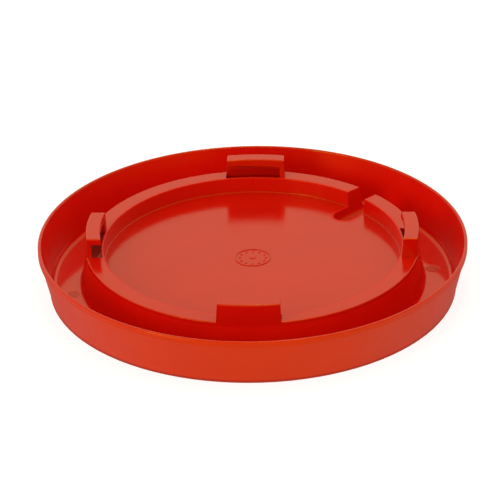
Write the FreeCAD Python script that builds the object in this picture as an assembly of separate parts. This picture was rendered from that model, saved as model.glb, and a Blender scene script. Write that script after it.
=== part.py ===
import FreeCAD, Part
import math
import os

# Round one-piece plastic base of a gravity poultry drinker.
# The moulding is written as its separate walls, floors and locking lugs, which meet face to face.
# Millimetres, +Z up. The origin is on the ground, under the middle of the base.
# Angles are measured about Z from +X, anticlockwise seen from above.

V = FreeCAD.Vector
ORIGIN = V(0, 0, 0)
UP = V(0, 0, 1)

# Walls shared by the whole moulding
wall_thickness = 1.8
plate_thickness = 2.0

# Outer wall and rim
rim_radius = 121.1
rim_height = 27.7
outer_wall_draft = math.radians(12.5)
bead_height = 3.8
bead_projection = 0.8
bead_under_radius = 0.5
rim_edge_radius = 0.8

# Trough between the outer wall and the seat ring
foot_corner_radius = 2.0
trough_corner_radius = 3.0
ring_foot_radius = 1.5

# Raised seat ring that carries the jar
ring_outer_radius = 94.0
ring_inner_radius = 84.25
ring_height = 23.8
ring_outer_draft = math.radians(8.4)
ring_inner_draft = math.radians(1.0)
deck_edge_radius = 0.5
web_thickness = 1.2

# Well floor inside the ring
well_height = 14.3
well_corner_radius = 0.5

# Flow channel, which leads from the well through the gap in the ring
channel_angle = 45.0
channel_width = 12.2
channel_draft = math.radians(4.2)
channel_reach = 16.8
channel_floor_height = 8.0
channel_corner_radius = 4.0

# Locking lugs that hook over the jar's own lugs
lug_angles = {"right": 0.0, "back": 90.0, "left": 180.0, "front": 270.0}
lug_width = 35.2
lug_end_draft = math.radians(3.9)
lug_rise = 11.0
lug_face_draft = math.radians(1.5)
lip_draft = math.radians(2.5)
lip_thickness_open = 3.4
lip_thickness_closed = 4.6
lug_upright_thickness = 2.6
lug_stop_thickness = 3.3
lug_edge_radius = 0.6

# Pieces of the deck in order round the ring, from the right lug
deck_names = ["deck_right_to_gap", "deck_gap_to_back", "deck_back_to_left", "deck_left_to_front",
              "deck_front_to_right"]

# Plain raised mark in the middle of the well floor, and the gate stub under it
mark_radius = 10.4
mark_line_width = 0.9
mark_height = 0.4
mark_dot_count = 12
mark_dot_radius = 0.7
mark_dot_circle_radius = 7.4
mark_boss_radius = 1.6
gate_radius = 2.0
gate_length = 0.9

# How far a cutting shape runs past what it cuts
overrun = 5.0

# Levels and radii that follow from the sizes above
deck_underside = ring_height - plate_thickness
well_underside = well_height - plate_thickness
bead_underside = rim_height - bead_height
trough_split = plate_thickness + trough_corner_radius
well_split = well_height + well_corner_radius + deck_edge_radius
web_radius = ring_inner_radius + web_thickness
lug_top = ring_height + lug_rise


def wall_outer_at(z):
    """Outer face of the outer wall below the rim bead."""
    return rim_radius - bead_projection - (bead_underside - z) * math.tan(outer_wall_draft)


def wall_inner_at(z):
    """Trough face of the outer wall."""
    return wall_outer_at(z) - wall_thickness


def ring_outer_at(z):
    """Trough face of the seat ring."""
    return ring_outer_radius + (ring_height - z) * math.tan(ring_outer_draft)


def ring_hollow_at(z):
    """Hidden face of the seat ring's outer wall."""
    return ring_outer_at(z) - wall_thickness


def ring_inner_at(z):
    """Well face of the seat ring."""
    return ring_inner_radius - (ring_height - z) * math.tan(ring_inner_draft)


def channel_half_width_at(z):
    """Half the width of the flow channel and of the gap above it."""
    return channel_width / 2 + (z - well_height) * math.tan(channel_draft)


def lug_half_width_at(z):
    """Half the width of a lug between its two end faces."""
    return lug_width / 2 - (z - ring_height) * math.tan(lug_end_draft)


def outline(corners):
    """Closed face in the XZ plane. Each corner is (radius from the axis, height, corner rounding)."""
    count = len(corners)
    points = [V(r, 0, z) for r, z, _ in corners]
    edges = []
    first_start = None
    last_end = None
    for i, (_, _, rounding) in enumerate(corners):
        corner = points[i]
        back = (points[i - 1] - corner).normalize()
        ahead = (points[(i + 1) % count] - corner).normalize()
        start, end = corner, corner
        arc = None
        if rounding > 0:
            half_turn = back.getAngle(ahead) / 2
            setback = rounding / math.tan(half_turn)
            start = corner + back * setback
            end = corner + ahead * setback
            bisector = (back + ahead).normalize()
            to_arc = rounding / math.sin(half_turn) - rounding
            arc = Part.Arc(start, corner + bisector * to_arc, end).toShape()
        if last_end is None:
            first_start = start
        else:
            edges.append(Part.makeLine(last_end, start))
        if arc is not None:
            edges.append(arc)
        last_end = end
    edges.append(Part.makeLine(last_end, first_start))
    return Part.Face(Part.Wire(edges))


def turned(corners):
    """Solid of revolution about Z."""
    return outline(corners).revolve(ORIGIN, UP, 360)


def turned_about(shape, angle):
    """Copy of a shape turned about Z."""
    copy = shape.copy()
    copy.rotate(ORIGIN, UP, angle)
    return copy


def above(z):
    """Block that holds everything of the base above a height."""
    side = 2 * (rim_radius + overrun)
    return Part.makeBox(side, side, lug_top + overrun - z, V(-side / 2, -side / 2, z))


def angle_of(solid):
    """Direction of a solid's middle, in degrees from +X."""
    middle = solid.CenterOfMass
    return math.degrees(math.atan2(middle.y, middle.x)) % 360


def save(shape, node):
    """Write one named node."""
    shape.exportStep("parts/" + node + ".step")


def rim():
    """Top band of the outer wall with the bead around it."""
    return turned([
        (wall_inner_at(bead_underside), bead_underside, 0),
        (rim_radius, bead_underside, bead_under_radius),
        (rim_radius, rim_height, rim_edge_radius),
        (wall_inner_at(rim_height), rim_height, rim_edge_radius),
    ])


def outer_wall():
    """Flared wall around the trough."""
    return turned([
        (wall_inner_at(trough_split), trough_split, 0),
        (wall_outer_at(trough_split), trough_split, 0),
        (wall_outer_at(bead_underside), bead_underside, 0),
        (wall_inner_at(bead_underside), bead_underside, 0),
    ])


def trough_floor():
    """Annular floor that rests on the ground, with its rounded corners and short upstands."""
    return turned([
        (ring_hollow_at(0), 0, 0),
        (wall_outer_at(0), 0, foot_corner_radius),
        (wall_outer_at(trough_split), trough_split, 0),
        (wall_inner_at(trough_split), trough_split, 0),
        (wall_inner_at(plate_thickness), plate_thickness, trough_corner_radius),
        (ring_outer_at(plate_thickness), plate_thickness, ring_foot_radius),
        (ring_outer_at(trough_split), trough_split, 0),
        (ring_hollow_at(trough_split), trough_split, 0),
    ])


def ring_outer_wall():
    """Drafted wall between the trough and the hollow under the deck."""
    return turned([
        (ring_hollow_at(trough_split), trough_split, 0),
        (ring_outer_at(trough_split), trough_split, 0),
        (ring_outer_at(deck_underside), deck_underside, 0),
        (ring_hollow_at(deck_underside), deck_underside, 0),
    ])


def deck_segments():
    """Flat top of the seat ring, in the pieces left between the lugs and the gap."""
    deck = turned([
        (web_radius, deck_underside, 0),
        (ring_outer_at(deck_underside), deck_underside, 0),
        (ring_outer_at(ring_height), ring_height, deck_edge_radius),
        (web_radius, ring_height, 0),
    ]).cut(slot_block(wall_thickness))
    for angle in lug_angles.values():
        deck = deck.cut(turned_about(lug_block(), angle))
    pieces = sorted(deck.Solids, key=angle_of)
    return dict(zip(deck_names, pieces))


def ring_inner_wall():
    """Wall between the well and the hollow under the deck, thinned to a web at the top."""
    return turned([
        (ring_inner_at(well_split), well_split, 0),
        (ring_inner_at(well_split) + wall_thickness, well_split, 0),
        (web_radius, deck_underside, 0),
        (web_radius, ring_height, 0),
        (ring_inner_at(ring_height), ring_height, deck_edge_radius),
    ])


def well_floor():
    """Round floor inside the ring, with a rounded corner and a short upstand at its edge."""
    edge_radius = ring_inner_at(well_split) + wall_thickness
    return turned([
        (0, well_underside, 0),
        (edge_radius, well_underside, well_corner_radius),
        (edge_radius, well_split, 0),
        (ring_inner_at(well_split), well_split, 0),
        (ring_inner_at(well_height), well_height, well_corner_radius),
        (0, well_height, 0),
    ])


def raised_middle():
    """Everything under the well floor, the deck and the ring's outer face, down to the ground."""
    return turned([
        (0, 0, 0),
        (ring_outer_at(0), 0, 0),
        (ring_outer_at(ring_height), ring_height, deck_edge_radius),
        (ring_inner_at(ring_height), ring_height, deck_edge_radius),
        (ring_inner_at(well_height), well_height, well_corner_radius),
        (0, well_height, 0),
    ])


def slot_wire(half_width, z):
    """Slot outline along +X at one height: a round end in the well and a far end in the trough."""
    end_centre = ring_inner_radius - channel_reach + channel_width / 2
    far = ring_outer_at(0) + overrun
    left_start = V(far, half_width, z)
    left_end = V(end_centre, half_width, z)
    tip = V(end_centre - half_width, 0, z)
    right_end = V(end_centre, -half_width, z)
    right_start = V(far, -half_width, z)
    return Part.Wire([
        Part.makeLine(left_start, left_end),
        Part.Arc(left_end, tip, right_end).toShape(),
        Part.makeLine(right_end, right_start),
        Part.makeLine(right_start, left_start),
    ])


def slot_block(growth):
    """Space of the flow channel and gap, grown on its sides and bottom."""
    bottom = channel_floor_height - growth
    top = lug_top + overrun
    lower = slot_wire(channel_half_width_at(bottom) + growth, bottom)
    upper = slot_wire(channel_half_width_at(top) + growth, top)
    block = Part.makeLoft([lower, upper], True, True)
    far = ring_outer_at(0) + overrun
    rounded = [edge for edge in block.Edges
               if edge.BoundBox.ZMax < bottom + overrun / 10 and edge.BoundBox.XMin < far - overrun / 10]
    block = block.makeFillet(channel_corner_radius + growth, rounded)
    return turned_about(block, channel_angle)


def channel_walls():
    """Floor of the flow channel, its walls and the two walls that close the ring at the gap."""
    shell = slot_block(wall_thickness).cut(slot_block(0)).common(raised_middle())
    pieces = sorted(shell.common(above(well_height)).Solids, key=angle_of)
    return {
        "flow_channel": shell.cut(above(well_height)),
        "gap_wall_right": pieces[0],
        "gap_wall_left": pieces[-1],
    }


def lug_block():
    """Tapered block as wide as a lug, outside the web, along +X."""
    low = lug_half_width_at(deck_underside)
    high = lug_half_width_at(lug_top)
    near = ring_inner_radius / 2
    far = ring_outer_at(0) + overrun
    wires = []
    for half_width, z in ((low, deck_underside), (high, lug_top)):
        wires.append(Part.makePolygon([
            V(near, -half_width, z), V(far, -half_width, z),
            V(far, half_width, z), V(near, half_width, z), V(near, -half_width, z),
        ]))
    block = Part.makeLoft(wires, True, True)
    core = Part.makeCylinder(web_radius, lug_top + 2 * overrun, V(0, 0, -overrun))
    return block.cut(core)


def under_lip():
    """Everything below the sloping underside of a lip, along +X."""
    closed_end = -lug_width / 2
    open_end = lug_width / 2
    fall = (lip_thickness_closed - lip_thickness_open) / lug_width
    closed_z = lug_top - lip_thickness_closed - fall * overrun
    open_z = lug_top - lip_thickness_open + fall * overrun
    face = Part.Face(Part.makePolygon([
        V(0, closed_end - overrun, 0), V(0, open_end + overrun, 0),
        V(0, open_end + overrun, open_z), V(0, closed_end - overrun, closed_z),
        V(0, closed_end - overrun, 0),
    ]))
    return face.extrude(V(ring_outer_at(0) + overrun, 0, 0))


def stop_side():
    """Block on the closed side of a lug, up to the inner face of its stop."""
    return Part.makeBox(ring_outer_at(0) + overrun, lug_stop_thickness + overrun, lug_top + overrun,
                        V(0, -lug_width / 2 - overrun, 0))


def lug():
    """One locking lug along +X: an upright on the ring's outer edge, a lip and a stop."""
    outer_top = ring_outer_radius - lug_rise * math.tan(lug_face_draft)
    inner_top = web_radius + lug_rise * math.tan(lip_draft)
    ring = turned([
        (web_radius, deck_underside, 0),
        (ring_outer_at(deck_underside), deck_underside, 0),
        (ring_outer_at(ring_height), ring_height, 0),
        (outer_top, lug_top, 0),
        (inner_top, lug_top, 0),
        (web_radius, ring_height, 0),
    ])
    body = ring.common(lug_block())
    top_edges = [edge for edge in body.Edges if edge.BoundBox.ZMin > lug_top - lug_edge_radius / 2]
    body = body.makeFillet(lug_edge_radius, top_edges)
    lower_space = under_lip()
    stop_space = stop_side()
    upright_face = ring_outer_radius - lug_upright_thickness
    reach = Part.makeCylinder(upright_face, lug_top + overrun)
    slot = reach.common(lower_space).cut(stop_space)
    hook = body.cut(slot)
    below = hook.common(lower_space)
    return {
        "lip": hook.cut(lower_space),
        "stop": below.common(stop_space),
        "upright": below.cut(stop_space),
    }


def centre_mark():
    """Raised ring, ring of dots and middle boss, standing on the well floor."""
    base = V(0, 0, well_height)
    outer = Part.makeCylinder(mark_radius, mark_height, base)
    inner = Part.makeCylinder(mark_radius - mark_line_width, mark_height, base)
    solids = [outer.cut(inner), Part.makeCylinder(mark_boss_radius, mark_height, base)]
    for i in range(mark_dot_count):
        angle = 2 * math.pi * i / mark_dot_count
        place = V(mark_dot_circle_radius * math.cos(angle), mark_dot_circle_radius * math.sin(angle),
                  well_height)
        solids.append(Part.makeCylinder(mark_dot_radius, mark_height, place))
    return Part.makeCompound(solids)


def gate_stub():
    """Short stub left by the moulding gate, under the middle of the well floor."""
    return Part.makeCylinder(gate_radius, gate_length, V(0, 0, well_underside - gate_length))


def main():
    os.makedirs("parts", exist_ok=True)
    gap = slot_block(wall_thickness)
    save(rim(), "rim")
    save(outer_wall(), "outer_wall")
    save(trough_floor().cut(gap), "trough_floor")
    save(ring_outer_wall().cut(gap), "ring_outer_wall")
    save(ring_inner_wall().cut(gap), "ring_inner_wall")
    save(well_floor().cut(gap), "well_floor")
    for node, shape in deck_segments().items():
        save(shape, node)
    for node, shape in channel_walls().items():
        save(shape, node)
    for piece, shape in lug().items():
        for side, angle in lug_angles.items():
            save(turned_about(shape, angle), "lug_" + side + "_" + piece)
    save(centre_mark(), "centre_mark")
    save(gate_stub(), "gate_stub")


main()
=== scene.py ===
import math
import bmesh
import bpy
import numpy as np
from mathutils import Matrix, Vector


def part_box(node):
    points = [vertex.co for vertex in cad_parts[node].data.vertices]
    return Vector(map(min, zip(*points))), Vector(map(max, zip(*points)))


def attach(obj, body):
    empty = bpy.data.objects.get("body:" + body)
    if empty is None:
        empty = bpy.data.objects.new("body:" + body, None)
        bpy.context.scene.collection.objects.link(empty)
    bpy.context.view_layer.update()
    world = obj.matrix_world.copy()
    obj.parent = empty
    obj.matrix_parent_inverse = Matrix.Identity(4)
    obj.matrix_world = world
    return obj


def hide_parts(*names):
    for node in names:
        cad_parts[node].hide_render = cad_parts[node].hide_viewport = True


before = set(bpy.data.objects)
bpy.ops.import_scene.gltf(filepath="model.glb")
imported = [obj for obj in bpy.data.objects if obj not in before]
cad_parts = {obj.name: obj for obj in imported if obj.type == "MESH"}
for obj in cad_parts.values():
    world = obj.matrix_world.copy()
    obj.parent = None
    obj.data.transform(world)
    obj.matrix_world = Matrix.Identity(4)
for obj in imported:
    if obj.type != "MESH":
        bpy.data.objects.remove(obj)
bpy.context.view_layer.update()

# Red moulded base of a gravity poultry drinker: a trough round a raised seat ring, with four locking lugs.
# Metres, +Z up. Radii and levels are read from the frame; roundings and drafts are the moulding's own.

MM = 0.001
BODY = "root"


# ---------------------------------------------------------------- sizes from the frame

def node_points(node):
    """The corner points of a CAD node as an (n, 3) array."""
    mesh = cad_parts[node].data
    flat = np.zeros(len(mesh.vertices) * 3)
    mesh.vertices.foreach_get("co", flat)
    return flat.reshape(-1, 3)


def radii_at(node, level):
    """Smallest and largest distance from the axis among a node's points at one level."""
    points = node_points(node)
    at_level = points[np.abs(points[:, 2] - level) < 0.005 * MM]
    radii = np.hypot(at_level[:, 0], at_level[:, 1])
    return float(radii.min()), float(radii.max())


def levels_of(node):
    """Lowest and highest level of a node."""
    low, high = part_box(node)
    return low.z, high.z


def straight(level_a, value_a, level_b, value_b):
    """Straight line of a radius or half width against height."""
    slope = (value_b - value_a) / (level_b - level_a)
    return lambda z: value_a + (z - level_a) * slope


def leaning(level, value, draft):
    """Straight line of a radius or half width that grows with height by a draft in degrees."""
    return lambda z: value + (z - level) * math.tan(math.radians(draft))


# outer wall and rim
wall_foot, bead_underside = levels_of("outer_wall")
rim_height = levels_of("rim")[1]
rim_radius = float(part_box("rim")[1].x)
foot_radii = radii_at("outer_wall", wall_foot)
head_radii = radii_at("outer_wall", bead_underside)
wall_inner = straight(wall_foot, foot_radii[0], bead_underside, head_radii[0])
wall_outer = straight(wall_foot, foot_radii[1], bead_underside, head_radii[1])

# seat ring: outer wall, well wall, centre mark and gate stub
ring_foot, deck_underside = levels_of("ring_outer_wall")
ring_foot_radii = radii_at("ring_outer_wall", ring_foot)
ring_head_radii = radii_at("ring_outer_wall", deck_underside)
ring_hollow = straight(ring_foot, ring_foot_radii[0], deck_underside, ring_head_radii[0])
ring_outer = straight(ring_foot, ring_foot_radii[1], deck_underside, ring_head_radii[1])

well_split, ring_height = levels_of("ring_inner_wall")
well_wall_radii = radii_at("ring_inner_wall", well_split)
web_radius = radii_at("ring_inner_wall", ring_height)[1]
well_wall = leaning(well_split, well_wall_radii[0], 1.0)
gate_foot, well_underside = levels_of("gate_stub")
well_height, mark_top = levels_of("centre_mark")
gate_radius = float(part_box("gate_stub")[1].x)
mark_radius = float(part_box("centre_mark")[1].x)

wall_thickness = foot_radii[1] - foot_radii[0]
trough_level = ring_height - deck_underside

# locking lugs: upright at the closed end of the slot (+y of the lug), open end at -y
lug_foot = levels_of("lug_right_upright")[0]
lug_top = levels_of("lug_right_lip")[1]
lug_half_width = 17.6 * MM
lug_half = leaning(ring_height, lug_half_width, -3.9)
lug_outer_draft, lug_inner_draft = 1.5, 2.5
upright_face = radii_at("lug_right_upright", lug_foot)[0]
stop_face = float(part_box("lug_right_stop")[1].y)
lug_angles = {"right": 0.0, "back": 90.0, "left": 180.0, "front": 270.0}
lip_edge = 0.6 * MM
lid_margin = 0.25 * MM
corner_edge = 0.45 * MM
hidden_edge = 0.02 * MM
lip_under = straight(-lug_half_width, lug_top - 4.6 * MM, lug_half_width, lug_top - 3.4 * MM)
lip_middle = lip_under(0.0)

# flow channel through the ring
channel_angle = math.radians(45.0)
channel_bottom = levels_of("flow_channel")[0]
channel_floor = channel_bottom + wall_thickness
channel_half = leaning(well_height, 6.1 * MM, 4.2)
channel_rounding = 4.0 * MM
channel_end = 73.55 * MM

# roundings
foot_rounding = 2.0 * MM
trough_rounding = 3.0 * MM
ring_foot_rounding = 1.5 * MM
deck_rounding = 0.5 * MM
well_rounding = 0.5 * MM
well_flat_inset = 3.0 * MM
bead_rounding = 0.5 * MM
rim_rounding = 0.8 * MM

# centre mark: a band, studs in a circle and a boss
mark_edge = 0.15 * MM
band_width, band_taper, stud_taper = 0.9 * MM, 0.1 * MM, 0.12 * MM
stud_count, stud_radius, stud_circle = 12, 0.7 * MM, 7.4 * MM
boss_radius = 1.6 * MM

# ejector pin marks on the trough floor, by their angles in degrees
pin_circle = 103.0 * MM
pin_radius, pin_depth, pin_shoulder = 4.2 * MM, 0.09 * MM, 0.7 * MM
pin_angles = (5.2, 68.0, 130.0, 191.7, 248.0, 308.0)

# mesh density, sharp edges, closeness and the floor's clearance
TURNS = 480
SHARP_ANGLE = math.radians(28.0)
FULL_TURN = 2 * math.pi
SAME = 0.002 * MM
ON_LEVEL = 0.01 * MM
FLOOR_DROP = 0.05 * MM


# ---------------------------------------------------------------- outlines

def unit(v):
    """Direction of a vector: v divided by its length."""
    return v / np.linalg.norm(v)


def rounded(corners, arc=8, guard=0.25 * MM, divide=0):
    """Closed outline through (a, b, rounding) corners: straight sides joined by circular arcs.
    Each side also gets a point close to each end, so that shading stays flat along it."""
    at = np.array([c[:2] for c in corners], float)
    pieces = []
    for i, corner in enumerate(at):
        rounding = corners[i][2]
        if rounding <= 0:
            pieces.append(corner[None])
            continue
        back = unit(at[i - 1] - corner)
        ahead = unit(at[(i + 1) % len(at)] - corner)
        half = 0.5 * math.acos(float(np.clip(back @ ahead, -1, 1)))
        centre = corner + unit(back + ahead) * rounding / math.sin(half)
        first = corner + back * rounding / math.tan(half) - centre
        last = corner + ahead * rounding / math.tan(half) - centre
        a = math.atan2(first[1], first[0])
        sweep = (math.atan2(last[1], last[0]) - a + math.pi) % FULL_TURN - math.pi
        turn = a + sweep * np.linspace(0, 1, arc + 1)
        pieces.append(centre + rounding * np.stack([np.cos(turn), np.sin(turn)], 1))
    out = []
    for i, piece in enumerate(pieces):
        out.append(piece)
        start, end = piece[-1], pieces[(i + 1) % len(pieces)][0]
        length = float(np.linalg.norm(end - start))
        if length > 4 * guard:
            shares = np.unique(np.concatenate([
                [guard / length, 1 - guard / length],
                np.linspace(0, 1, divide + 2)[1:-1]]))
            out.append(start + (end - start) * shares[:, None])
    return np.concatenate(out)


# ---------------------------------------------------------------- meshes

class Skin:
    """Sheets of points and flat lids, joined into one closed mesh."""

    def __init__(self):
        self.points, self.faces, self.count = [], [], 0

    def sheet(self, grid, round_u=False, round_v=False):
        """Four-sided faces between the neighbours of an (n, m, 3) grid, closed on itself where asked."""
        n, m = grid.shape[:2]
        i = np.arange(n if round_u else n - 1)[:, None]
        j = np.arange(m if round_v else m - 1)[None, :]
        ni, nj = (i + 1) % n, (j + 1) % m
        quad = np.stack([i * m + j, ni * m + j, ni * m + nj, i * m + nj], -1).reshape(-1, 4)
        self.faces.extend((quad + self.count).tolist())
        self.points.append(grid.reshape(-1, 3))
        self.count += n * m

    def lid(self, loop):
        """One flat face on a closed loop of points."""
        self.faces.append(list(range(self.count, self.count + len(loop))))
        self.points.append(loop)
        self.count += len(loop)


def centres_and_normals(mesh):
    """The centre and the normal of every face, as two arrays of (x, y, z)."""
    centre, normal = np.zeros(len(mesh.polygons) * 3), np.zeros(len(mesh.polygons) * 3)
    mesh.polygons.foreach_get("center", centre)
    mesh.polygons.foreach_get("normal", normal)
    return centre.reshape(-1, 3), normal.reshape(-1, 3)


def outer_faces(mesh):
    """1 for the faces on the outside of the base or under it, whose normals point away from the axis
    at the outer wall's own radius, or down to the ground; 0 for the rest."""
    centre, normal = centres_and_normals(mesh)
    radius = np.hypot(centre[:, 0], centre[:, 1]) + 1e-9
    outward = (centre[:, :2] * normal[:, :2]).sum(1) / radius
    outside = (outward > 0.3) & (radius > wall_outer(centre[:, 2]) - 0.5 * wall_thickness)
    return outside & (centre[:, 2] < rim_height - rim_rounding) | (normal[:, 2] < -0.5)


def rim_slots(mesh):
    """As outer_faces, with 2 for the top of the rim and its roundings."""
    normal = centres_and_normals(mesh)[1]
    return np.where(normal[:, 2] > 0.25, 2, outer_faces(mesh))


def trough_floor_slots(mesh):
    """As outer_faces, with 2 for the flat bottoms of the pin marks, level and just under the face."""
    centre, normal = centres_and_normals(mesh)
    sunk = trough_level - centre[:, 2]
    pin_bottom = (normal[:, 2] > 0.9) & (sunk > 0.5 * pin_depth) & (sunk < 2 * pin_depth)
    return np.where(pin_bottom, 2, outer_faces(mesh))


def finish_piece(name, skin, nodes, materials, slots=None):
    """Makes the mesh: shared points are merged, faces turned outwards, shading smooth but for real edges."""
    mesh = bpy.data.meshes.new(name)
    mesh.from_pydata(np.concatenate(skin.points).tolist(), [], skin.faces)
    bm = bmesh.new()
    bm.from_mesh(mesh)
    bmesh.ops.remove_doubles(bm, verts=bm.verts, dist=SAME)
    bmesh.ops.dissolve_degenerate(bm, edges=bm.edges, dist=SAME)
    bmesh.ops.recalc_face_normals(bm, faces=bm.faces)
    bm.to_mesh(mesh)
    bm.free()
    mesh.shade_smooth()
    mesh.set_sharp_from_angle(angle=SHARP_ANGLE)
    piece = bpy.data.objects.new(name, mesh)
    bpy.context.scene.collection.objects.link(piece)
    for material in materials:
        mesh.materials.append(material)
    if slots:
        mesh.polygons.foreach_set("material_index", slots(mesh).astype(np.int32))
    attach(piece, BODY)
    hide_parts(*nodes)


def carry(profile, angles):
    """Profile points (radius, level) carried round the axis: x = r cos a, y = r sin a, z = level."""
    r, z = profile[:, 0], profile[:, 1]
    return np.stack([r * np.cos(angles), r * np.sin(angles), z + 0 * angles], -1)


def even_angles(turns):
    """Angles round a full turn, as a column."""
    return np.linspace(0, FULL_TURN, turns, endpoint=False)[:, None]


def turned(profile, turns=TURNS):
    """Closed profile turned fully about Z."""
    skin = Skin()
    skin.sheet(carry(profile, even_angles(turns) + 0 * profile[:, 0]), round_u=True, round_v=True)
    return skin


def arc_between(profile, start, end, steps):
    """Closed profile carried from one flat cut to another. A cut is (angle, half width against height):
    the flat face that far to the side of the line at that angle, so its angle is asin(half width / r)."""
    r, z = profile[:, 0], profile[:, 1]
    first = start[0] + np.arcsin(start[1](z) / r)
    last = end[0] - np.arcsin(end[1](z) / r)
    share = np.linspace(0, 1, steps + 1)[:, None]
    grid = carry(profile, first + (last - first) * share)
    skin = Skin()
    skin.sheet(grid, round_v=True)
    skin.lid(grid[0])
    skin.lid(grid[-1])
    return skin


# ---------------------------------------------------------------- outer wall and trough

def rim_profile():
    """Section of the rim: from the outer wall's inner face out to the bead, with rounded edges."""
    return rounded([
        (wall_inner(bead_underside), bead_underside, 0),
        (rim_radius, bead_underside, bead_rounding),
        (rim_radius, rim_height, rim_rounding),
        (wall_inner(rim_height), rim_height, rim_rounding),
    ])


def outer_wall_profile():
    """Section of the outer wall: two straight leaning sides from the foot up to the bead."""
    return rounded([
        (wall_inner(wall_foot), wall_foot, 0),
        (wall_outer(wall_foot), wall_foot, 0),
        (wall_outer(bead_underside), bead_underside, 0),
        (wall_inner(bead_underside), bead_underside, 0),
    ], divide=3)


def pin_marks(points):
    """Sinks the points of the trough floor's face inside each round pin mark, with a soft shoulder:
    z - depth * s(distance), where s falls from 1 to 0 across the shoulder as 3t^2 - 2t^3."""
    z = points[..., 2].copy()
    on_face = np.abs(z - trough_level) < ON_LEVEL
    for angle in np.radians(pin_angles):
        away = np.hypot(points[..., 0] - pin_circle * math.cos(angle),
                        points[..., 1] - pin_circle * math.sin(angle))
        t = np.clip((pin_radius - away) / pin_shoulder, 0, 1)
        z -= np.where(on_face, pin_depth * (3 * t ** 2 - 2 * t ** 3), 0)
    return np.concatenate([points[..., :2], z[..., None]], -1)


def trough_floor_skin():
    """Outline of the trough floor turned about Z, closer divided where the ejector pins left a mark."""
    face_edge, face_start = wall_inner(trough_level) - 2.75 * MM, ring_outer(trough_level) + 1.3 * MM
    outline = rounded([
        (ring_hollow(0), 0, 0),
        (wall_outer(0), 0, foot_rounding),
        (wall_outer(wall_foot), wall_foot, 0),
        (wall_inner(wall_foot), wall_foot, 0),
        (wall_inner(trough_level), trough_level, trough_rounding),
        (face_edge, trough_level, 0),
        (face_start, trough_level, 0),
        (ring_outer(trough_level), trough_level, ring_foot_rounding),
        (ring_outer(wall_foot), wall_foot, 0),
        (ring_hollow(wall_foot), wall_foot, 0),
    ], divide=2)
    before, after = (int(np.argmin(np.hypot(outline[:, 0] - radius, outline[:, 1] - trough_level)))
                     for radius in (face_edge, face_start))
    fine = np.linspace(face_edge, face_start, 34)[1:-1]
    fine = np.stack([fine, np.full(len(fine), trough_level)], 1)
    outline = np.concatenate([outline[:before + 1], fine, outline[after:]])
    close = np.concatenate([angle + np.linspace(-3.2, 3.2, 33) for angle in pin_angles]) % 360
    angles = np.radians(np.unique(np.round(np.concatenate([np.arange(0, 360, 0.75), close]), 3)))
    skin = Skin()
    skin.sheet(pin_marks(carry(outline, angles[:, None] + 0 * outline[:, 0])), round_u=True, round_v=True)
    return skin


# ---------------------------------------------------------------- seat ring

def gap_side(z):
    """Outer face of the two walls that close the ring at the gap."""
    return channel_half(z) + wall_thickness


def channel_outline(side, floor, rounding, steps=8):
    """Half of the channel's cross section, from the well floor level down its side, round the bottom
    corner and in to the middle: (distance from the centre line, level)."""
    def half(z):
        """Side distance at a level."""
        return channel_half(z) + side

    lean = math.atan(half(1.0) - half(0.0))
    inside = math.pi / 2 + lean
    setback = rounding / math.tan(inside / 2)
    corner = np.array([half(floor), floor])
    up = np.array([math.sin(lean), math.cos(lean)])
    top = np.array([half(well_height), well_height])
    start = corner + up * setback
    centre = np.array([corner[0] - setback, floor + rounding])
    turn = np.linspace(-lean, -math.pi / 2, steps + 1)
    arc = centre + rounding * np.stack([np.cos(turn), np.sin(turn)], 1)
    wall = top + (start - top) * np.array([0.0, 0.08, 0.5, 0.92])[:, None]
    flat = np.stack([np.linspace(arc[-1][0], 0, 4)[1:], np.full(3, floor)], 1)
    return np.concatenate([wall, arc, flat])


def at_channel(x, y, z):
    """Points along (x) and across (y) the channel, turned to its direction."""
    c, s = math.cos(channel_angle), math.sin(channel_angle)
    return np.stack([x * c - y * s, x * s + y * c, np.broadcast_to(z, x.shape)], -1)


def ring_outer_wall_skin():
    """Coned wall from its foot up to the deck, notched by the channel. Each column of the grid stands
    at one side distance y near the channel, then at even angles, and ends on the channel's outline."""
    half = channel_outline(wall_thickness, channel_bottom, channel_rounding + wall_thickness, 12)
    top = np.array([[gap_side(deck_underside), deck_underside]])
    above = half[:1] + (top - half[:1]) * np.linspace(1, 0, 6)[:-1, None]
    half = np.concatenate([above, half])
    # the channel's outline from y < 0 to y > 0, then round the back
    side, head = np.concatenate([half, half[-2::-1] * np.array([-1, 1])])[::-1].T
    rest = np.linspace(0, 1, TURNS - 12)[1:-1]
    rows = []
    for radius_of, share in ((ring_hollow, [0.0, 1.0]), (ring_outer, [1.0, 0.75, 0.5, 0.25, 0.0])):
        share = np.array(share)[:, None]
        z = ring_foot + (head[None, :] - ring_foot) * share
        near = np.arcsin(side[None, :] / radius_of(z))
        far_z = np.repeat(ring_foot + (deck_underside - ring_foot) * share, len(rest), 1)
        edge = np.arcsin(gap_side(deck_underside) / radius_of(far_z))
        far = edge + (FULL_TURN - 2 * edge) * rest[None, :]
        angle = np.concatenate([near, far], 1) + channel_angle
        r = np.concatenate([radius_of(z), radius_of(far_z)], 1)
        rows.append(np.stack([r * np.cos(angle), r * np.sin(angle), np.concatenate([z, far_z], 1)], -1))
    skin = Skin()
    skin.sheet(np.concatenate(rows).transpose(1, 0, 2), round_u=True, round_v=True)
    return skin


def ring_inner_wall_profile():
    """Section of the wall round the well: straight sides, thinned at the top to the web beside the deck."""
    return rounded([
        (well_wall(well_split), well_split, 0),
        (well_wall(well_split) + wall_thickness, well_split, 0),
        (web_radius, deck_underside, 0),
        (web_radius, ring_height, 0),
        (well_wall(ring_height), ring_height, deck_rounding),
    ])


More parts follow.
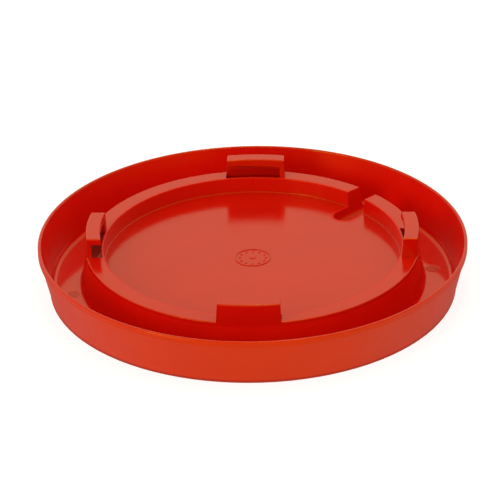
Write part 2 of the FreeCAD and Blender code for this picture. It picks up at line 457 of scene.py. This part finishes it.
def deck_profile():
    """Section of the deck: level above and below, with its outer side on the ring's cone."""
    return rounded([
        (web_radius, deck_underside, 0),
        (ring_outer(deck_underside), deck_underside, 0),
        (ring_outer(ring_height), ring_height, deck_rounding),
        (web_radius, ring_height, 0),
    ], divide=2)


# ---------------------------------------------------------------- well floor and channel

def well_floor_skin():
    """Plate whose edge runs round the well and in along the channel's round-ended slot. Round the well the
    section is carried from one side of the slot to the other: x = r cos a, y = r sin a. Along the slot the
    edge is its side face. Above and below, the plate runs straight from the middle out to that edge."""
    edge = well_wall(well_split) + wall_thickness
    flat_radius = well_wall(well_height) - well_flat_inset
    section = rounded([
        (flat_radius, well_underside, 0),
        (edge, well_underside, well_rounding),
        (edge, well_split, 0),
        (well_wall(well_split), well_split, 0),
        (well_wall(well_height), well_height, well_rounding),
        (flat_radius, well_height, 0),
    ], guard=0.2 * MM)
    # the closing side of the outline, from the top face down, is left out
    section = section[(section[:, 0] > flat_radius + ON_LEVEL)
                      | (np.abs(section[:, 1] - well_underside) < ON_LEVEL)
                      | (np.abs(section[:, 1] - well_height) < ON_LEVEL)]
    around = np.linspace(0, 1, TURNS - 10)[:, None]
    r, z = section[:, 0], section[:, 1]
    first = np.arcsin(gap_side(z) / r)
    rim_columns = carry(section, channel_angle + first + (FULL_TURN - 2 * first) * around)
    # the slot, from its far side back to its near side
    level = np.array([well_underside, well_height])
    side = gap_side(level)
    reach = np.sqrt(flat_radius ** 2 - side ** 2)
    along = channel_end + (reach - channel_end) * np.linspace(1, 0, 20)[:, None]
    turn = np.linspace(-math.pi / 2, -3 * math.pi / 2, 49)[1:-1, None]
    slot_x = np.concatenate([along, channel_end + side * np.cos(turn), along[::-1]])
    slot_y = np.concatenate([-side + 0 * along, side * np.sin(turn), side + 0 * along])
    slot_columns = at_channel(slot_x, slot_y, level)
    skin = Skin()
    skin.sheet(rim_columns)
    skin.lid(rim_columns[0])
    skin.lid(rim_columns[-1])
    skin.sheet(slot_columns)
    # plates from the middle out to the edge of the flat
    middle_ring, spread = 60 * MM, math.radians(16)
    inner_angle = np.concatenate([
        channel_angle + spread + (FULL_TURN - 2 * spread) * np.linspace(0, 1, len(rim_columns)),
        channel_angle - spread + 2 * spread * np.linspace(0, 1, len(slot_columns))])
    for index, z in ((0, well_underside), (-1, well_height)):
        edge_points = np.concatenate([rim_columns[:, index], slot_columns[:, index]])
        inner = np.stack([middle_ring * np.cos(inner_angle), middle_ring * np.sin(inner_angle),
                          np.full(len(inner_angle), z)], -1)
        out = np.linspace(0, 1, 7)[None, :, None]
        skin.sheet(inner[:, None] + (edge_points[:, None] - inner[:, None]) * out, round_u=True)
        middle = np.array([0, 0, z])
        share = np.linspace(0, 1, 9)[None, :, None]
        skin.sheet(middle + (inner[:, None] - middle) * share, round_u=True)
    return skin


def channel_skin():
    """Round-ended bath: the half section carried down one side, round the end and back along the other.
    A point is centre + side direction times its distance, and the open end lies on the ring's cone."""
    inner = channel_outline(0.0, channel_floor, channel_rounding)
    outer = channel_outline(wall_thickness, channel_bottom, channel_rounding + wall_thickness)
    section = np.concatenate([inner, outer[::-1]])
    w, z = section[:, 0], section[:, 1]
    mouth = np.sqrt(ring_outer(z) ** 2 - w ** 2)
    share = np.linspace(1, 0, 16)[:, None]
    x_side = channel_end + (mouth - channel_end) * share
    turn = np.linspace(-math.pi / 2, -3 * math.pi / 2, 41)[1:-1, None]
    x = np.concatenate([x_side, channel_end + w * np.cos(turn), x_side[::-1]])
    y = np.concatenate([-w + 0 * x_side, w * np.sin(turn), w + 0 * x_side])
    grid = at_channel(x, y, z)
    skin = Skin()
    skin.sheet(grid, round_v=True)
    n = len(inner)
    for end in (grid[0], grid[-1]):
        skin.sheet(np.stack([end[:n], end[:n - 1:-1]], 1))
    return skin


def gap_wall_skin(sign):
    """Ring section above the well floor, carried across the thickness of the wall beside the gap:
    y runs from the channel's side to the wall's outer face and x = sqrt(r^2 - y^2)."""
    section = rounded([
        (well_wall(well_height), well_height, well_rounding),
        (well_wall(ring_height), ring_height, deck_rounding),
        (ring_outer(ring_height), ring_height, deck_rounding),
        (ring_outer(well_height), well_height, 0),
        (well_wall(well_height) - well_flat_inset, well_height, 0),
    ], guard=0.2 * MM)
    foot_start = section[0, 0]
    section = section[section[:, 0] > foot_start - ON_LEVEL]
    r, z = section[:, 0], section[:, 1]
    across = np.array([0.0, 0.5, 1.0])[:, None]
    y = sign * (channel_half(z) + wall_thickness * across)
    x = np.sqrt(r ** 2 - y ** 2)
    grid = at_channel(x, y, z)
    skin = Skin()
    skin.sheet(grid, round_v=True)
    skin.lid(grid[0])
    skin.lid(grid[-1])
    return skin


# ---------------------------------------------------------------- locking lugs

def lug_face_out(z):
    """Radius of a lug's outer face, which carries on the ring's cone below the deck."""
    above = leaning(ring_height, ring_outer(ring_height), -lug_outer_draft)
    return np.where(z > ring_height, above(z), ring_outer(z))


def lug_face_in(z):
    """Radius of a lug's inner face above the web."""
    return leaning(ring_height, web_radius, lug_inner_draft)(np.maximum(z, ring_height))


def lug_layer(low_y, high_y, in_r, out_r, roundings, inset=0.0):
    """One level of a lug: a rounded rectangle in side distance and radius."""
    corners = [(low_y + inset, in_r + inset), (high_y - inset, in_r + inset),
               (high_y - inset, out_r - inset), (low_y + inset, out_r - inset)]
    return rounded([(a, b, max(rounding - inset, hidden_edge) if rounding else 0)
                    for (a, b), rounding in zip(corners, roundings)], arc=5, guard=0.2 * MM, divide=22)


def place_lug(outlines, levels, angle):
    """Stack of outlines (side distance y, radius r) at their levels, turned to its place, with
    x = sqrt(r^2 - y^2)."""
    y, r = outlines[..., 0], outlines[..., 1]
    x = np.sqrt(r ** 2 - y ** 2)
    a = math.radians(angle)
    return np.stack([x * math.cos(a) - y * math.sin(a), x * math.sin(a) + y * math.cos(a), levels], -1)


def stacked(grid):
    """Stack of closed outlines with a flat lid at each end."""
    skin = Skin()
    skin.sheet(grid, round_v=True)
    skin.lid(grid[0])
    skin.lid(grid[-1])
    return skin


def lip_skin(angle):
    """Lip of a lug: straight sides up from its sloping underside, then a quarter round in to the top."""
    roundings = (corner_edge,) * 4
    turn = np.linspace(0, math.pi / 2, 7)
    heights = np.concatenate([[0, 0.04, 0.5, 0.96, 1], np.ones(6)])
    insets = np.concatenate([np.zeros(5), lip_edge * (1 - np.cos(turn[1:]))])
    lifts = np.concatenate([np.zeros(5), lip_edge * np.sin(turn[1:])])
    insets = np.append(insets, lip_edge + lid_margin)
    heights, lifts = np.append(heights, 1), np.append(lifts, lip_edge)
    outlines, levels = [], []
    for height, inset, lift in zip(heights, insets, lifts):
        z = (1 - height) * lip_middle + height * (lug_top - lip_edge) + lift
        outline = lug_layer(-lug_half(z), lug_half(z), float(lug_face_in(z)), float(lug_face_out(z)),
                            roundings, inset)
        under = lip_under(outline[:, 0])
        outlines.append(outline)
        levels.append(under + (lug_top - lip_edge - under) * height + lift)
    return stacked(place_lug(np.array(outlines), np.array(levels), angle))


def post_skin(angle, kind):
    """Upright or stop of a lug: a stack of outlines from under the deck up to the lip's underside."""
    outlines, levels = [], []
    deck_share = (ring_height - lug_foot) / (lip_middle - lug_foot)
    for share in (0, deck_share, deck_share + 0.03, 0.5, 0.8, 1.0):
        z = lug_foot + (lip_middle - lug_foot) * share
        edge = corner_edge if share > deck_share else hidden_edge
        if kind == "upright":
            outline = lug_layer(stop_face, lug_half(z), upright_face, float(lug_face_out(z)),
                                (0, edge, edge, 0))
        else:
            outline = lug_layer(-lug_half(z), stop_face, float(lug_face_in(z)), float(lug_face_out(z)),
                                (edge, edge, 0, edge))
        outlines.append(outline)
        if share <= deck_share:
            levels.append(np.full(len(outline), z))
        else:
            part = (share - deck_share) / (1 - deck_share)
            levels.append(ring_height + (lip_under(outline[:, 0]) - ring_height) * part)
    return stacked(place_lug(np.array(outlines), np.array(levels), angle))


# ---------------------------------------------------------------- centre mark and gate stub

def button(radius, foot, top, edge, x=0.0, y=0.0, turns=28):
    """Low round stud: a turned outline with a rounded upper edge, moved to its place."""
    outline = rounded([(0, foot, 0), (radius, foot, 0), (radius - stud_taper, top, edge), (0, top, 0)],
                      arc=4, guard=0.05 * MM)
    return carry(outline, even_angles(turns) + 0 * outline[:, 0]) + np.array([x, y, 0])


def centre_mark_skin():
    """Raised ring, twelve studs in a circle and a boss in the middle."""
    skin = Skin()
    inner_radius = mark_radius - band_width
    band = rounded([(inner_radius, well_height, 0), (mark_radius, well_height, 0),
                    (mark_radius - band_taper, mark_top, mark_edge),
                    (inner_radius + band_taper, mark_top, mark_edge)], arc=4, guard=0.05 * MM)
    skin.sheet(carry(band, even_angles(120) + 0 * band[:, 0]), round_u=True, round_v=True)
    for i in range(stud_count):
        a = FULL_TURN * i / stud_count
        stud = button(stud_radius, well_height, mark_top, mark_edge,
                      stud_circle * math.cos(a), stud_circle * math.sin(a))
        skin.sheet(stud, round_u=True, round_v=True)
    boss = button(boss_radius, well_height, mark_top, mark_edge, turns=48)
    skin.sheet(boss, round_u=True, round_v=True)
    return skin


def gate_stub_skin():
    """Short stub with a rounded lower edge."""
    outline = rounded([(0, gate_foot, 0), (gate_radius, gate_foot, 0.3 * MM),
                       (gate_radius, well_underside, 0), (0, well_underside, 0)], arc=5, guard=0.1 * MM)
    return turned(outline, 64)


# ---------------------------------------------------------------- finish

def moulded_polyethylene(name, light_red, deep_red, smooth, rough, wave_strength, gloss=0.5):
    """Glossy red moulded plastic: faint clouds in the colour, uneven polish, dimples, waves and grain."""
    material = bpy.data.materials.new(name)
    material.use_nodes = True
    nodes, links = material.node_tree.nodes, material.node_tree.links
    shader = nodes["Principled BSDF"]
    shader.inputs["IOR"].default_value = 1.5
    shader.inputs["Specular Tint"].default_value = (1.0, 0.75, 0.05, 1.0)
    shader.inputs["Specular IOR Level"].default_value = gloss
    place = nodes.new("ShaderNodeTexCoord")

    def noise(scale, detail, rough=0.5):
        """Noise over the part's own coordinates."""
        node = nodes.new("ShaderNodeTexNoise")
        node.inputs["Scale"].default_value = scale
        node.inputs["Detail"].default_value = detail
        node.inputs["Roughness"].default_value = rough
        links.new(place.outputs["Object"], node.inputs["Vector"])
        return node.outputs["Fac"]

    def remap(value, low, high, to_low, to_high):
        """Value carried in a straight line from one range to another."""
        node = nodes.new("ShaderNodeMapRange")
        node.inputs["From Min"].default_value = low
        node.inputs["From Max"].default_value = high
        node.inputs["To Min"].default_value = to_low
        node.inputs["To Max"].default_value = to_high
        links.new(value, node.inputs["Value"])
        return node.outputs["Result"]

    clouds = noise(22.0, 4.0, 0.6)
    ramp = nodes.new("ShaderNodeValToRGB")
    ramp.color_ramp.elements[0].position = 0.3
    ramp.color_ramp.elements[0].color = (*deep_red, 1)
    ramp.color_ramp.elements[1].position = 0.7
    ramp.color_ramp.elements[1].color = (*light_red, 1)
    links.new(clouds, ramp.inputs["Fac"])
    links.new(ramp.outputs["Color"], shader.inputs["Base Color"])
    polish = noise(60.0, 6.0, 0.65)
    links.new(remap(polish, 0.3, 0.7, smooth, rough), shader.inputs["Roughness"])
    dimple = nodes.new("ShaderNodeBump")
    dimple.inputs["Strength"].default_value = 0.10
    dimple.inputs["Distance"].default_value = 0.0003
    links.new(noise(260.0, 3.0, 0.6), dimple.inputs["Height"])
    wave = nodes.new("ShaderNodeBump")
    wave.inputs["Strength"].default_value = wave_strength
    wave.inputs["Distance"].default_value = 0.0008
    links.new(noise(45.0, 2.0), wave.inputs["Height"])
    links.new(dimple.outputs["Normal"], wave.inputs["Normal"])
    grain = nodes.new("ShaderNodeBump")
    grain.inputs["Strength"].default_value = 0.05
    grain.inputs["Distance"].default_value = 0.0001
    links.new(noise(2500.0, 2.0), grain.inputs["Height"])
    links.new(wave.outputs["Normal"], grain.inputs["Normal"])
    links.new(grain.outputs["Normal"], shader.inputs["Normal"])
    return material


# each finish: lighter red, deeper red, lowest and highest roughness, waviness, gloss. The whole base is one
# red plastic; the finishes' reds differ as painted light, lighter on the walls, the basin and the trough
# floor.
plate = moulded_polyethylene(
    "polished_red_plate", (0.58, 0.0050, 0.0012), (0.54, 0.0035, 0.0010), 0.13, 0.20, 0.12)
# ring walls, channel and cheeks: red painted lighter than the plates', as painted light for glow and bounce
# in the plastic
wall = moulded_polyethylene(
    "polished_red_wall_painted_lighter", (0.66, 0.0050, 0.0012), (0.61, 0.0035, 0.0010), 0.26, 0.34, 0.10, 0.30)
satin = moulded_polyethylene(
    "satin_red_shell", (0.55, 0.0050, 0.0012), (0.50, 0.0035, 0.0010), 0.40, 0.50, 0.16)
# inside of the outer wall and rim: red painted lighter than the plates', as painted light for glow and
# bounce in the plastic
basin = moulded_polyethylene(
    "polished_red_basin_painted_lighter", (0.69, 0.0042, 0.0011), (0.64, 0.0030, 0.0009), 0.26, 0.34, 0.08, 0.30)
# trough floor: red painted lighter still, as painted light; the pin marks keep a plainer red
bottom = moulded_polyethylene(
    "polished_red_trough_painted_lighter", (0.74, 0.0042, 0.0011), (0.69, 0.0030, 0.0009), 0.07, 0.11, 0.06)
dull = moulded_polyethylene(
    "dull_red_pin_mark", (0.58, 0.0042, 0.0011), (0.54, 0.0030, 0.0009), 0.22, 0.30, 0.10)


# ---------------------------------------------------------------- the pieces

gap_cut = (channel_angle, gap_side)
gap_cut_again = (channel_angle + FULL_TURN, gap_side)

finish_piece("rim_band", turned(rim_profile()), ["rim"], [basin, satin, plate], rim_slots)
finish_piece("trough_outer_wall", turned(outer_wall_profile()), ["outer_wall"], [basin, satin], outer_faces)
finish_piece("trough_floor_plate", trough_floor_skin(), ["trough_floor"], [bottom, satin, dull],
             trough_floor_slots)
finish_piece("seat_ring_outer_wall", ring_outer_wall_skin(), ["ring_outer_wall"], [wall])
finish_piece("seat_ring_inner_wall",
             arc_between(ring_inner_wall_profile(), gap_cut, gap_cut_again, TURNS - 12),
             ["ring_inner_wall"], [wall])
finish_piece("well_floor_plate", well_floor_skin(), ["well_floor"], [plate])
finish_piece("flow_channel_bath", channel_skin(), ["flow_channel"], [wall])
finish_piece("gap_cheek_left", gap_wall_skin(1.0), ["gap_wall_left"], [wall])
finish_piece("gap_cheek_right", gap_wall_skin(-1.0), ["gap_wall_right"], [wall])

lug_cut = {name: (math.radians(angle), lug_half) for name, angle in lug_angles.items()}
deck_spans = {
    "deck_right_to_gap": (lug_cut["right"], gap_cut, 60),
    "deck_gap_to_back": (gap_cut, lug_cut["back"], 60),
    "deck_back_to_left": (lug_cut["back"], lug_cut["left"], 110),
    "deck_left_to_front": (lug_cut["left"], lug_cut["front"], 110),
    "deck_front_to_right": (lug_cut["front"], (FULL_TURN, lug_half), 110),
}
for node, (start, end, steps) in deck_spans.items():
    finish_piece("seat_" + node, arc_between(deck_profile(), start, end, steps), [node], [plate])

for name, angle in lug_angles.items():
    finish_piece("hook_lip_" + name, lip_skin(angle), ["lug_" + name + "_lip"], [plate])
    finish_piece("hook_upright_" + name, post_skin(angle, "upright"), ["lug_" + name + "_upright"], [plate])
    finish_piece("hook_stop_" + name, post_skin(angle, "stop"), ["lug_" + name + "_stop"], [plate])

finish_piece("well_centre_mark", centre_mark_skin(), ["centre_mark"], [plate])
finish_piece("well_gate_stub", gate_stub_skin(), ["gate_stub"], [plate])


# ---------------------------------------------------------------- floor, light and camera

def paper(name, colour, glow):
    """Matt paper, which gives off a glow of its own colour: the lit table's even glow, and under the base a
    painted red bounce light.
    """
    material = bpy.data.materials.new(name)
    material.use_nodes = True
    shader = material.node_tree.nodes["Principled BSDF"]
    shader.inputs["Base Color"].default_value = (*colour, 1)
    shader.inputs["Roughness"].default_value = 0.9
    shader.inputs["Specular IOR Level"].default_value = 0.1
    shader.inputs["Emission Color"].default_value = (*glow, 1)
    shader.inputs["Emission Strength"].default_value = 1.0
    return material


def floor_ring(name, reach, material):
    """Level ring or disc of floor, a hair below the foot, through the radii in reach."""
    angles = even_angles(96)
    reach = np.array(reach)[None, :]
    grid = np.stack([reach * np.cos(angles), reach * np.sin(angles), 0 * reach * angles - FLOOR_DROP], -1)
    skin = Skin()
    skin.sheet(grid, round_u=True)
    mesh = bpy.data.meshes.new(name)
    mesh.from_pydata(np.concatenate(skin.points).tolist(), [], skin.faces)
    bm = bmesh.new()
    bm.from_mesh(mesh)
    bmesh.ops.remove_doubles(bm, verts=bm.verts, dist=SAME)
    bm.to_mesh(mesh)
    bm.free()
    mesh.materials.append(material)
    floor = bpy.data.objects.new(name, mesh)
    bpy.context.scene.collection.objects.link(floor)
    return floor


def pale_floor():
    """A lit white table, and under the base a disc of painted red shade with a faint painted red glow for
    bounce light.
    The surroundings below the horizon stand in for the table in the part's reflections."""
    # the shade disc reaches 0.4 mm past the foot, so its edge is a painted contact shadow round the base
    shade_disc_radius = wall_outer(0) + 0.4 * MM
    table = floor_ring("studio_floor", [shade_disc_radius, 0.6, 2.0, 6.0],
                       paper("lit_white_table", (0.3, 0.3, 0.3), (0.8, 0.8, 0.8)))
    table.visible_glossy = False
    # painted shade under the base: dark red paper with a faint red glow as painted bounce light, seen at the
    # foot and through the hook windows
    floor_ring("painted_red_shade_under_base", [0.0, 0.5 * shade_disc_radius, shade_disc_radius],
               paper("painted_red_shade_and_bounce", (0.45, 0.06, 0.04), (0.17, 0.03, 0.018)))


def soft_light(name, place, target, size, power):
    """Square soft lamp aimed at a point."""
    lamp = bpy.data.lights.new(name, "AREA")
    lamp.shape = "SQUARE"
    lamp.size = size
    lamp.energy = power
    holder = bpy.data.objects.new(name, lamp)
    holder.location = place
    holder.rotation_euler = (Vector(target) - Vector(place)).to_track_quat("-Z", "Y").to_euler()
    bpy.context.scene.collection.objects.link(holder)


def studio_camera():
    """Long lens in front and above, with the base a little below the middle of the view."""
    distance = 1.4247
    elevation, azimuth, roll = math.radians(28.20), math.radians(1.70), math.radians(-0.937)
    away_right, away_down = 0.00124, 0.01192
    out = np.array([math.cos(elevation) * math.sin(azimuth), -math.cos(elevation) * math.cos(azimuth),
                    math.sin(elevation)])
    right = np.array([math.cos(azimuth), math.sin(azimuth), 0.0])
    up = np.cross(out, right)
    rolled_right = right * math.cos(roll) + up * math.sin(roll)
    rolled_up = up * math.cos(roll) - right * math.sin(roll)
    forward = unit(-out - away_right * rolled_right + away_down * rolled_up)
    side = unit(rolled_right - forward * (rolled_right @ forward))
    top = np.cross(side, forward)
    lens = bpy.data.cameras.new("studio_camera")
    lens.lens = 180.0
    lens.sensor_width = 36.0
    lens.clip_start = 0.05
    lens.clip_end = 50.0
    camera = bpy.data.objects.new("studio_camera", lens)
    turn = Matrix((side, top, -forward)).transposed()
    camera.matrix_world = Matrix.Translation(Vector(out * distance)) @ turn.to_4x4()
    bpy.context.scene.collection.objects.link(camera)
    bpy.context.scene.camera = camera


def white_surroundings(above, near_side, far_side):
    """White room: one brightness above the horizon; below it the table as the part mirrors it, bright on
    the lamp's side (-Y) and falling off behind."""
    world = bpy.data.worlds.new("studio_surroundings")
    world.use_nodes = True
    nodes, links = world.node_tree.nodes, world.node_tree.links
    background = nodes["Background"]
    background.inputs["Color"].default_value = (1.0, 0.98, 0.84, 1)
    place = nodes.new("ShaderNodeTexCoord")
    axes = nodes.new("ShaderNodeSeparateXYZ")
    links.new(place.outputs["Generated"], axes.inputs["Vector"])

    def ramp(value, low, high, to_low, to_high):
        """Value carried from one range to another along a smooth step; the ends may be other values."""
        node = nodes.new("ShaderNodeMapRange")
        node.interpolation_type = "SMOOTHSTEP"
        for socket, amount in (("From Min", low), ("From Max", high)):
            node.inputs[socket].default_value = amount
        for socket, amount in (("To Min", to_low), ("To Max", to_high)):
            if isinstance(amount, float):
                node.inputs[socket].default_value = amount
            else:
                links.new(amount, node.inputs[socket])
        links.new(value, node.inputs["Value"])
        return node.outputs["Result"]

    below = ramp(axes.outputs["Y"], -0.2, 0.85, near_side, far_side)
    links.new(ramp(axes.outputs["Z"], -0.06, 0.02, below, above), background.inputs["Strength"])
    bpy.context.scene.world = world


pale_floor()
white_surroundings(0.90, 1.0, 0.30)
soft_light("front_softbox", (-1.35, -1.45, 0.75), (0, 0, 0), 0.9, 11.0)
soft_light("edge_softbox", (0.1, 0.35, 1.5), (0, 0, 0), 0.32, 2.4)
studio_camera()
bpy.context.scene.view_settings.view_transform = "Standard"
